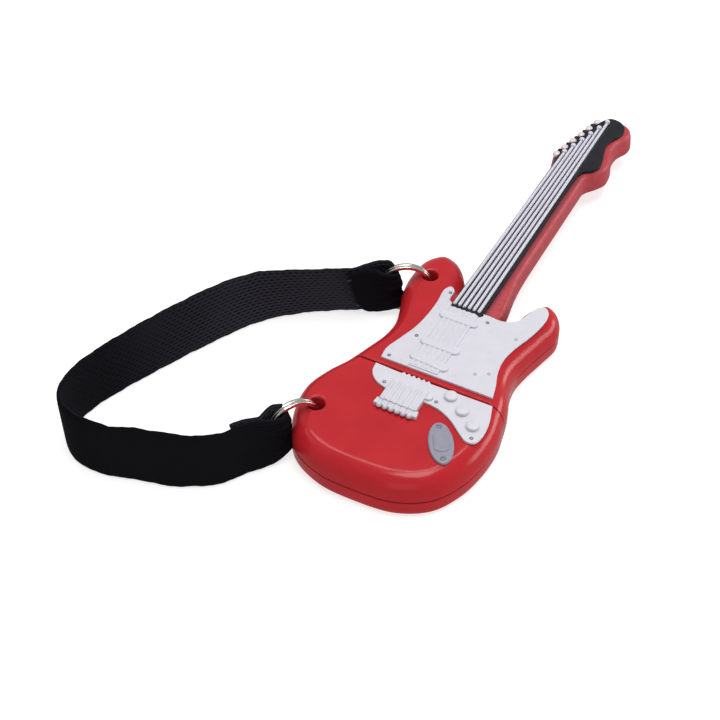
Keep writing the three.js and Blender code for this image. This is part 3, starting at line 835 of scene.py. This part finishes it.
def shell(name, upper, outer, inner, run, rise, ring):
    """One moulded shell: a flat outer face that rounds down to a level rim on the parting line."""
    sign = 1 if outer > inner else -1
    loop, on_curve, outline = half_outline(upper)
    seam_y = SEAM_GAP / 2 if upper else -SEAM_GAP / 2
    curve = loop[:on_curve]

    def round_hole(distance):
        return arc(*ring["hole"], RING_HOLE_RADIUS + distance, 0, 360, 49)[:-1]

    def from_hole(points):
        return np.linalg.norm(points - np.array(ring["hole"]), axis=1) - RING_HOLE_RADIUS

    hole = round_hole(0)
    _, inwards = directions(curve)
    rows = [curve + inwards * run * (1 - math.cos(math.radians(a))) for a in (9, 18, 27, 36, 45, 54)]
    seam_edge = loop[on_curve:]
    near_seam = [seam_edge + [0, d if upper else -d] for d in (0.06, 0.15, 0.28, 0.42)]
    near_hole = [round_hole(d) for d in (0.06, 0.18, 0.35, 0.6)]
    step = 0.55
    grid = np.stack(np.meshgrid(np.arange(-22, 22, step), np.arange(-30, 42, step * 0.87)), axis=2)
    grid[1::2, :, 0] += step / 2
    grid = grid.reshape(-1, 2)
    far_in = distance_to(grid, outline) > run * (1 - math.cos(math.radians(58)))
    far_in &= np.abs(grid[:, 1] - seam_y) > 0.7
    far_in &= from_hole(grid) > 0.85
    inner_points = np.vstack(rows + near_seam + near_hole + [grid[far_in]])
    inner_points = inner_points[inside(inner_points, loop)]
    inner_points = inner_points[distance_to(inner_points, loop) > 0.02]
    inner_points = inner_points[from_hole(inner_points) > 0.02]
    triangles = triangulate([loop, hole], inner_points)
    points = np.vstack([loop, hole, inner_points])
    drop = edge_drop(distance_to(points, outline), run, rise)
    drop = np.maximum(drop, edge_drop(np.abs(points[:, 1] - seam_y), 0.4, 0.35))
    drop = np.maximum(drop, edge_drop(from_hole(points), 0.6, 0.45))
    z = outer - sign * drop
    z = np.maximum(z, inner + 0.25) if sign > 0 else np.minimum(z, inner - 0.25)
    vertices = [(x, y, h) for (x, y), h in zip(points, z)]
    faces = [tuple(f) for f in triangles]
    rim, count = len(vertices), len(loop)
    lip = np.vstack([curve + inwards * 0.16, loop[on_curve:]])
    vertices += [(x, y, inner + sign * 0.16) for x, y in loop]
    vertices += [(x, y, inner) for x, y in lip]
    vertices += [(x, y, inner) for x, y in hole]
    faces += bridge_rows(count, 0, rim) + bridge_rows(count, rim, rim + count)
    faces += bridge_rows(len(hole), count, rim + 2 * count)
    floor = triangulate([lip, hole])
    faces += [tuple(rim + count + i for i in f) for f in floor]
    return make_piece(name, vertices, faces, "gloss_red")


def room_about_plug(half_x, half_z, ys):
    return block((PLUG_X - half_x, PLUG_X + half_x), ys, (PLUG_Z - half_z, PLUG_Z + half_z))


def plug_mouth():
    return room_about_plug(PLUG_HALF[0] + 0.35, PLUG_HALF[1] + 0.35, (-3, 1))


def liner_room():
    return room_about_plug(7.4, 3.65, (-1, 14.5))


def ring_groove(ring):
    """The slot under a ring hole that the ring passes through."""
    hole, along, across = ring_frame(ring)
    corners = [hole + a * along + b * across for a, b in ((0, -1.6), (12, -1.6), (12, 1.6), (0, 1.6))]
    vertices = [(x, y, z) for z in (-1, 3.3) for x, y in corners]
    faces = [(3, 2, 1, 0), (4, 5, 6, 7)] + bridge_rows(4, 0, 4)
    return make_piece("groove", vertices, faces, "gloss_red")


def neck_section(t):
    """The neck's half-round section at t from the body (0) to the headstock (1)."""
    left = -3.9 + 0.1 * t
    right = 6.4 - 0.3 * t + 1.9 * math.exp(-((t * NECK_LENGTH + 1) / 10) ** 2)
    middle, top, bottom = 6.4, 9.97, 2.7
    section = []
    for centre, run, rise, start, stop in (
        (right - 1.5, 1.5, top - middle, 90, 0),
        (right - 2.6, 2.6, middle - bottom, 0, -90),
        (left + 2.6, 2.6, middle - bottom, 270, 180),
        (left + 1.2, 1.2, top - middle, 180, 90),
    ):
        for angle in np.radians(np.linspace(start, stop, 9)):
            section.append((centre + run * math.cos(angle), middle + rise * math.sin(angle)))
    return section


def build_neck():
    vertices = []
    stations = np.linspace(22, 84, 40)
    for y in stations:
        section = neck_section((y - 26) / NECK_LENGTH)
        vertices += [(x, y, z) for x, z in section]
    return make_piece("neck", vertices, tube_faces(len(section), len(stations)), "neck_red")


def build_headstock():
    """A slab with rounded edges, thinner than the neck."""
    loop = anticlockwise(spline(HEADSTOCK_OUTLINE, True, 0.5))
    levels = [(0.7, 4.4), (0.4, 4.45), (0.12, 4.7), (0, 5.1), (0.15, 7), (0.35, 8.6), (0.6, 9.4),
              (0.9, 9.8), (1.15, 9.94), (1.4, 9.98)]
    return stacked("headstock", loop, levels, "neck_red")


def build_heel():
    """The thick root of the neck, which runs down to the back."""
    vertices = []
    end, top, squareness, count = 43.5, 3.6, 0.55, 17
    stations = np.linspace(22, end, 20)
    for y in stations:
        bottom = 0.7 + 2.3 * smoothstep(y, 33, end)
        left, right = -4.0, 6.2 - 1.4 * smoothstep(y, 31, end)
        for angle in np.radians(np.linspace(0, -180, count)):
            c, s = math.cos(angle), math.sin(angle)
            x = (left + right) / 2 + (right - left) / 2 * math.copysign(abs(c) ** squareness, c)
            vertices.append((x, y, top + (top - bottom) * -abs(s) ** squareness))
    return make_piece("heel", vertices, tube_faces(count, len(stations)), "neck_red")


def add_shells():
    body_front = shell("body_front", False, THICKNESS, FRONT_Z, *FRONT_EDGE, LOWER_RING)
    cut(body_front, plug_mouth())
    settle(body_front, "body", "gloss_red", "body_front_shell")
    body_back = shell("body_back", False, 0.0, BACK_Z, *BACK_EDGE, LOWER_RING)
    cut(body_back, plug_mouth())
    cut(body_back, ring_groove(LOWER_RING))
    settle(body_back, "body", "gloss_red", "body_back_shell")

    cap_front = shell("cap_front", True, THICKNESS, FRONT_Z, *FRONT_EDGE, UPPER_RING)
    cut(cap_front, build_neck(), "UNION")
    cut(cap_front, build_headstock(), "UNION")
    cut(cap_front, liner_room())
    settle(cap_front, "cap", "gloss_red", "cap_front_shell")
    cap_back = shell("cap_back", True, 0.0, BACK_Z, *BACK_EDGE, UPPER_RING)
    cut(cap_back, liner_room())
    cut(cap_back, ring_groove(UPPER_RING))
    settle(cap_back, "cap", "gloss_red", "cap_back_shell")
    settle(build_heel(), "cap", "gloss_red")


# White, grey and black trim


def screw(x, y, z, radius=0.42, paint="screw_grey"):
    """A small sunk screw head with a pit in the middle."""
    profile = [(0, z - 0.3), (radius, z - 0.3), (radius, z + 0.02), (radius * 0.8, z + 0.1),
               (radius * 0.45, z + 0.1), (radius * 0.32, z - 0.05), (0, z - 0.06)]
    return lathe("screw", profile, x, y, paint, 16)


def turned(loop, degrees):
    c, s = math.cos(math.radians(degrees)), math.sin(math.radians(degrees))
    return np.asarray(loop, float) @ np.array([[c, s], [-s, c]])


def round_ended(x, y, half, radius, degrees=0):
    """A loop with two straight sides and round ends."""
    right, left = arc(half - radius, 0, radius, -90, 90, 13), arc(radius - half, 0, radius, 90, 270, 13)
    return turned(np.vstack([right, left]), degrees) + np.array([x, y])


def rod(name, start, end, z, half, height, paint, count=24):
    """A half-round rib with rounded ends that lies on z."""
    start, end = np.array(start, float), np.array(end, float)
    along = (end - start) / np.linalg.norm(end - start)
    across = np.array([-along[1], along[0]])
    length = np.linalg.norm(end - start)
    ease = half * (1 - np.cos(np.linspace(0, math.pi / 2, 6)))
    places = np.r_[ease, np.linspace(half, length - half, count)[1:-1], length - ease[::-1]]
    sides = 9
    vertices = []
    for place in places:
        edge = min(place, length - place, half)
        size = max(0.05, math.sqrt(max(0, 1 - (1 - edge / half) ** 2)))
        for angle in np.linspace(0, math.pi, sides):
            offset = across * half * size * math.cos(angle)
            x, y = start + along * place + offset
            vertices.append((x, y, z + height * size * math.sin(angle)))
    return make_piece(name, vertices, tube_faces(sides, len(places)), paint, 50)


def flat_ended(points, step=0.5):
    """A smooth outline whose last point is joined to the first by a straight edge."""
    curve = spline(points, False, step)
    edge = resample(np.array([curve[-1], curve[0]]), step)[1:-1]
    return np.vstack([curve, edge])


def add_pickguards():
    curve = spline(BODY_PICKGUARD_OUTLINE, False, 0.5)
    # Six small teeth at the seam, in line with the strings.
    teeth = [(-3.45 + 0.575 * i, -0.3 if i % 2 else -0.85) for i in range(13)]
    loop = np.vstack([curve, np.array(teeth)[::-1]])
    body_plate = plate("body_guard", loop, TRIM_Z, PICKGUARD_TOP, 0.16, "white_trim")
    spots = [(-5.4, -4.9), (6.7, -5), (17.3, -10.7)]
    screws = [screw(x, y, PICKGUARD_TOP) for x, y in spots]
    settle(join([body_plate] + screws, "body_guard"), "body", "white_trim", "body_pickguard")

    loop = flat_ended(CAP_PICKGUARD_OUTLINE)
    cap_plate = plate("cap_guard", loop, TRIM_Z, PICKGUARD_TOP, 0.16, "white_trim")
    spots = [(-5, 26.5), (-5.6, 10.7), (-8.1, 2.6), (6.3, 21.5)]
    extras = [screw(x, y, PICKGUARD_TOP) for x, y in spots]
    faint = [(13.9, 19.6), (13, 7.4), (10.4, 6)]
    extras += [screw(x, y, PICKGUARD_TOP, paint="screw_pale") for x, y in faint]
    band = np.array([(-3.3, 2.0), (3.55, 2.0), (3.7, 22.6), (-3.0, 22.6)], float)
    extras.append(plate("string_band", band, PICKGUARD_TOP - 0.1, PICKGUARD_TOP + 0.22, 0.1, "white_trim"))
    for i in range(STRINGS):
        x0, x1 = -2.75 + 1.19 * i, -2.55 + 1.15 * i
        extras.append(rod("line", (x0, 2.3), (x1, 22.4), PICKGUARD_TOP + 0.18, 0.4, 0.2, "white_trim"))
    settle(join([cap_plate] + extras, "cap_guard"), "cap", "white_trim", "cap_pickguard")


def add_pickups():
    places = {"pickup_neck": (19.4, 0), "pickup_middle": (10.0, 0), "pickup_bridge": (4.6, -4)}
    for name, (y, degrees) in places.items():
        loop = round_ended(0.35, y, 4.6, 1.15, degrees)
        piece = plate(name + "_cover", loop, PICKGUARD_TOP - 0.05, PICKGUARD_TOP + 0.5, 0.3, "white_trim")
        settle(piece, "cap", "white_trim", name)


def add_bridge():
    top = np.array([(-4.1, -9.8), (4.4, -9.8), (4.4, -3.7), (-4.1, -3.7)], float)
    foot = np.array([(-4.7, -11.2), (5.1, -11.2), (4.9, -9.5), (-4.6, -9.5)], float)
    lobe = round_ended(3.6, -4.7, 2.2, 0.95)
    parts = [
        plate("bridge_top", top, TRIM_Z, 11.3, 0.3, "white_trim"),
        plate("bridge_foot", foot, TRIM_Z, 10.95, 0.25, "white_trim"),
        plate("bridge_lobe", lobe, PICKGUARD_TOP - 0.1, 11.05, 0.3, "white_trim"),
    ]
    for i in range(STRINGS):
        x = -3.35 + 1.38 * i
        parts.append(rod("saddle", (x, -4.0), (x, -10.2), 11.2, 0.38, 0.36, "white_trim"))
        parts.append(rod("saddle_end", (x, -9.4), (x, -11.9), 10.5, 0.56, 0.72, "white_trim", 8))
    settle(join(parts, "bridge_block"), "body", "white_trim", "bridge")


def add_knobs():
    places = {"knob_volume": (8.8, -2.4), "knob_tone_1": (12.6, -5), "knob_tone_2": (16.2, -7.8)}
    for name, (x, y) in places.items():
        z = PICKGUARD_TOP
        profile = [(0, z), (1.42, z), (1.42, z + 0.5), (1.3, z + 0.68), (1.05, z + 0.76),
                   (0.6, z + 0.84), (0, z + 0.86)]
        settle(lathe(name + "_cap", profile, x, y, "white_trim", 40, 50), "body", "white_trim", name)


def add_jack_plate():

    def placed(loop):
        return turned(loop, JACK_PLATE["degrees"]) + np.array([JACK_PLATE["x"], JACK_PLATE["y"]])

    angles = np.linspace(0, 2 * math.pi, 72, endpoint=False)
    half_length, half_width = JACK_PLATE["length"] / 2, JACK_PLATE["width"] / 2
    oval = np.stack([half_length * np.cos(angles), half_width * np.sin(angles)], axis=1)
    base = plate("jack", placed(oval), TRIM_Z, JACK_TOP, 0.3, "plate_grey")
    window = placed(round_ended(0, 0, 2.5, 0.9) * np.array([1, 1.75]))
    socket = plate("socket", window, JACK_TOP - 0.1, JACK_TOP + 0.2, 0.2, "plate_grey")
    screws = [screw(x, y, JACK_TOP, 0.6) for x, y in placed([(-4.3, 0), (4.3, 0)])]
    settle(join([base, socket] + screws, "jack_cover"), "body", "grey_plate", "jack_plate")


def string_line(i):
    """Where a string starts and where its post stands."""
    return (-2.6 + 1.18 * i, 23.2), (-2.05 + i, 86.3 + 3.32 * i)


def tuner_place(i):
    return -3.7 + 0.83 * i, 85.2 + 3.42 * i


def add_face():
    """The black face: its lower end runs round each string, and black teeth between the tuners stand for
    the shadows there, a painted shadow.
    """
    lobes = []
    for i in range(STRINGS - 1):
        lobes.append(arc(-2.6 + 1.15 * i, 22.9, 0.56, 185, 355, 9))
    lobes.append(arc(3.6, 23.2, 0.98, 195, 355, 13))
    side = spline([(4.4, 24)] + FACE_HEAD_OUTLINE + [(-3.2, 24)], False, 0.6)
    loop = np.vstack(lobes + [side])
    parts = [plate("face", loop, TRIM_Z, FACE_TOP, 0.12, "face_black")]
    # Painted shadow: black teeth between the tuner buttons stand for the shadows that fall between them.
    for i in range(STRINGS - 1):
        x, y = tuner_place(i + 0.5)
        painted_shadow_tooth = round_ended(x + 0.4, y, 1.15, 0.55)
        parts.append(plate("painted_shadow_tooth", painted_shadow_tooth, TRIM_Z, FACE_TOP, 0.2, "face_black"))
    parts.append(rod("line", (3.7, 78), (3.9, 102), FACE_TOP - 0.02, 0.14, 0.16, "face_black"))
    settle(join(parts, "face"), "cap", "black_face", "fretboard")


def add_strings():
    for i in range(STRINGS):
        start, end = string_line(i)
        z = FACE_TOP - 0.05
        string = rod("string", start, end, z, 0.4, 0.5, "string_white", 60)
        profile = [(0, z), (0.62, z), (0.62, z + 0.6), (0.5, z + 0.78), (0.25, z + 0.82), (0, z + 0.82)]
        post = lathe("post", profile, *end, "string_white", 20, 50)
        settle(join([string, post], f"wound_string_{i + 1}"), "cap", "silver_white_trim", f"string_{i + 1}")


def add_tuners():
    for i in range(STRINGS):
        x, y = tuner_place(i)
        z = TRIM_Z - 0.1
        profile = [(0, z), (0.8, z), (0.95, z + 0.3), (0.95, z + 0.7), (0.75, z + 1), (0.35, z + 1.1),
                   (0, z + 1.12)]
        tuner = lathe(f"tuner_button_{i + 1}", profile, x, y, "tuner_pearl", 24, 60)
        settle(tuner, "cap", "silver_white_trim", f"tuner_{i + 1}")


# Metal


def rounded_box(half_x, half_z, corner, count=6):
    """A rectangle with round corners, as a cross-section."""
    x, z = half_x - corner, half_z - corner
    corners = [(x, z, 0), (-x, z, 90), (-x, -z, 180), (x, -z, 270)]
    return np.vstack([arc(cx, cz, corner, start, start + 90, count) for cx, cz, start in corners])


def add_split_ring(name, ring, body, node):
    """Two flat coils side by side, with a step where the wire crosses from one to the other."""
    hole, along, across = ring_frame(ring)
    centre = hole + along * RING_REACH
    turns = 1.97
    stations = np.linspace(0, turns, 190)
    start = math.radians(-35)
    section = rounded_box(0.45, 0.38, 0.16, 4)
    middle = (RING_OUTER + RING_INNER) / 2
    vertices = []
    for t in stations:
        angle = start + 2 * math.pi * t
        shift = 0.4 * (2 * smoothstep(t, 0.93, 1.05) - 1)
        taper = 0.8 + 0.2 * min(1, 12 * min(t, turns - t))
        for r, h in section:
            radius = middle + r * taper
            out = radius * math.cos(angle)
            x, y = centre + along * out + across * (shift + h)
            vertices.append((x, y, RING_Z + radius * math.sin(angle)))
    faces = tube_faces(len(section), len(stations))
    settle(make_piece(name, vertices, faces, "nickel", 40), body, "nickel", node)


def add_plug_shell():
    """The plug's stamped sleeve, with its four latch windows and a flared lip."""
    outer, inner = rounded_box(*PLUG_HALF, 0.7), rounded_box(5.7, 1.95, 0.45)
    lip = rounded_box(5.93, 2.18, 0.66)
    rows = [(outer, PLUG_BACK), (outer, PLUG_TIP - 0.3), (lip, PLUG_TIP)]
    rows += [(inner, PLUG_TIP), (inner, PLUG_BACK)]
    vertices = [(PLUG_X + x, y, PLUG_Z + z) for section, y in rows for x, z in section]
    count = len(outer)
    faces = side_faces(count, len(rows)) + bridge_rows(count, (len(rows) - 1) * count, 0)
    sleeve = make_piece("plug_sleeve", vertices, faces, "plug_steel")
    for side in (-3, 3):
        cut(sleeve, block((PLUG_X + side - 1.1, PLUG_X + side + 1.1), (5, 7.4), (0, 10)))
    settle(sleeve, "body", "plug_steel", "usb_plug_shell")


def paint_cad(name, paint):
    """A carried-over CAD node gets a detailed material in all its slots."""
    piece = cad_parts[name]
    if not piece.material_slots:
        piece.data.materials.append(PAINTS[paint])
    for spot in piece.material_slots:
        spot.material = PAINTS[paint]


def paint_inside():
    inside_paints = {
        "black_insulator": ["circuit_carrier", "cap_liner", "usb_tongue"],
        "board_green": ["circuit_board"],
        "chip_black": ["memory_chip", "controller_chip"],
        "crystal_steel": ["crystal"],
        "ceramic_tan": [f"capacitor_{i}" for i in range(1, 4)],
        "gold_contact": [f"usb_contact_{i}" for i in range(1, 5)],
    }
    for paint, names in inside_paints.items():
        for name in names:
            paint_cad(name, paint)


add_camera()
add_strap()
add_studio()
add_floor()
add_shells()
add_pickguards()
add_pickups()
add_bridge()
add_knobs()
add_jack_plate()
add_face()
add_strings()
add_tuners()
add_split_ring("upper_split_ring", UPPER_RING, "upper_ring", "upper_ring")
add_split_ring("lower_split_ring", LOWER_RING, "lower_ring", "lower_ring")
add_plug_shell()
paint_inside()
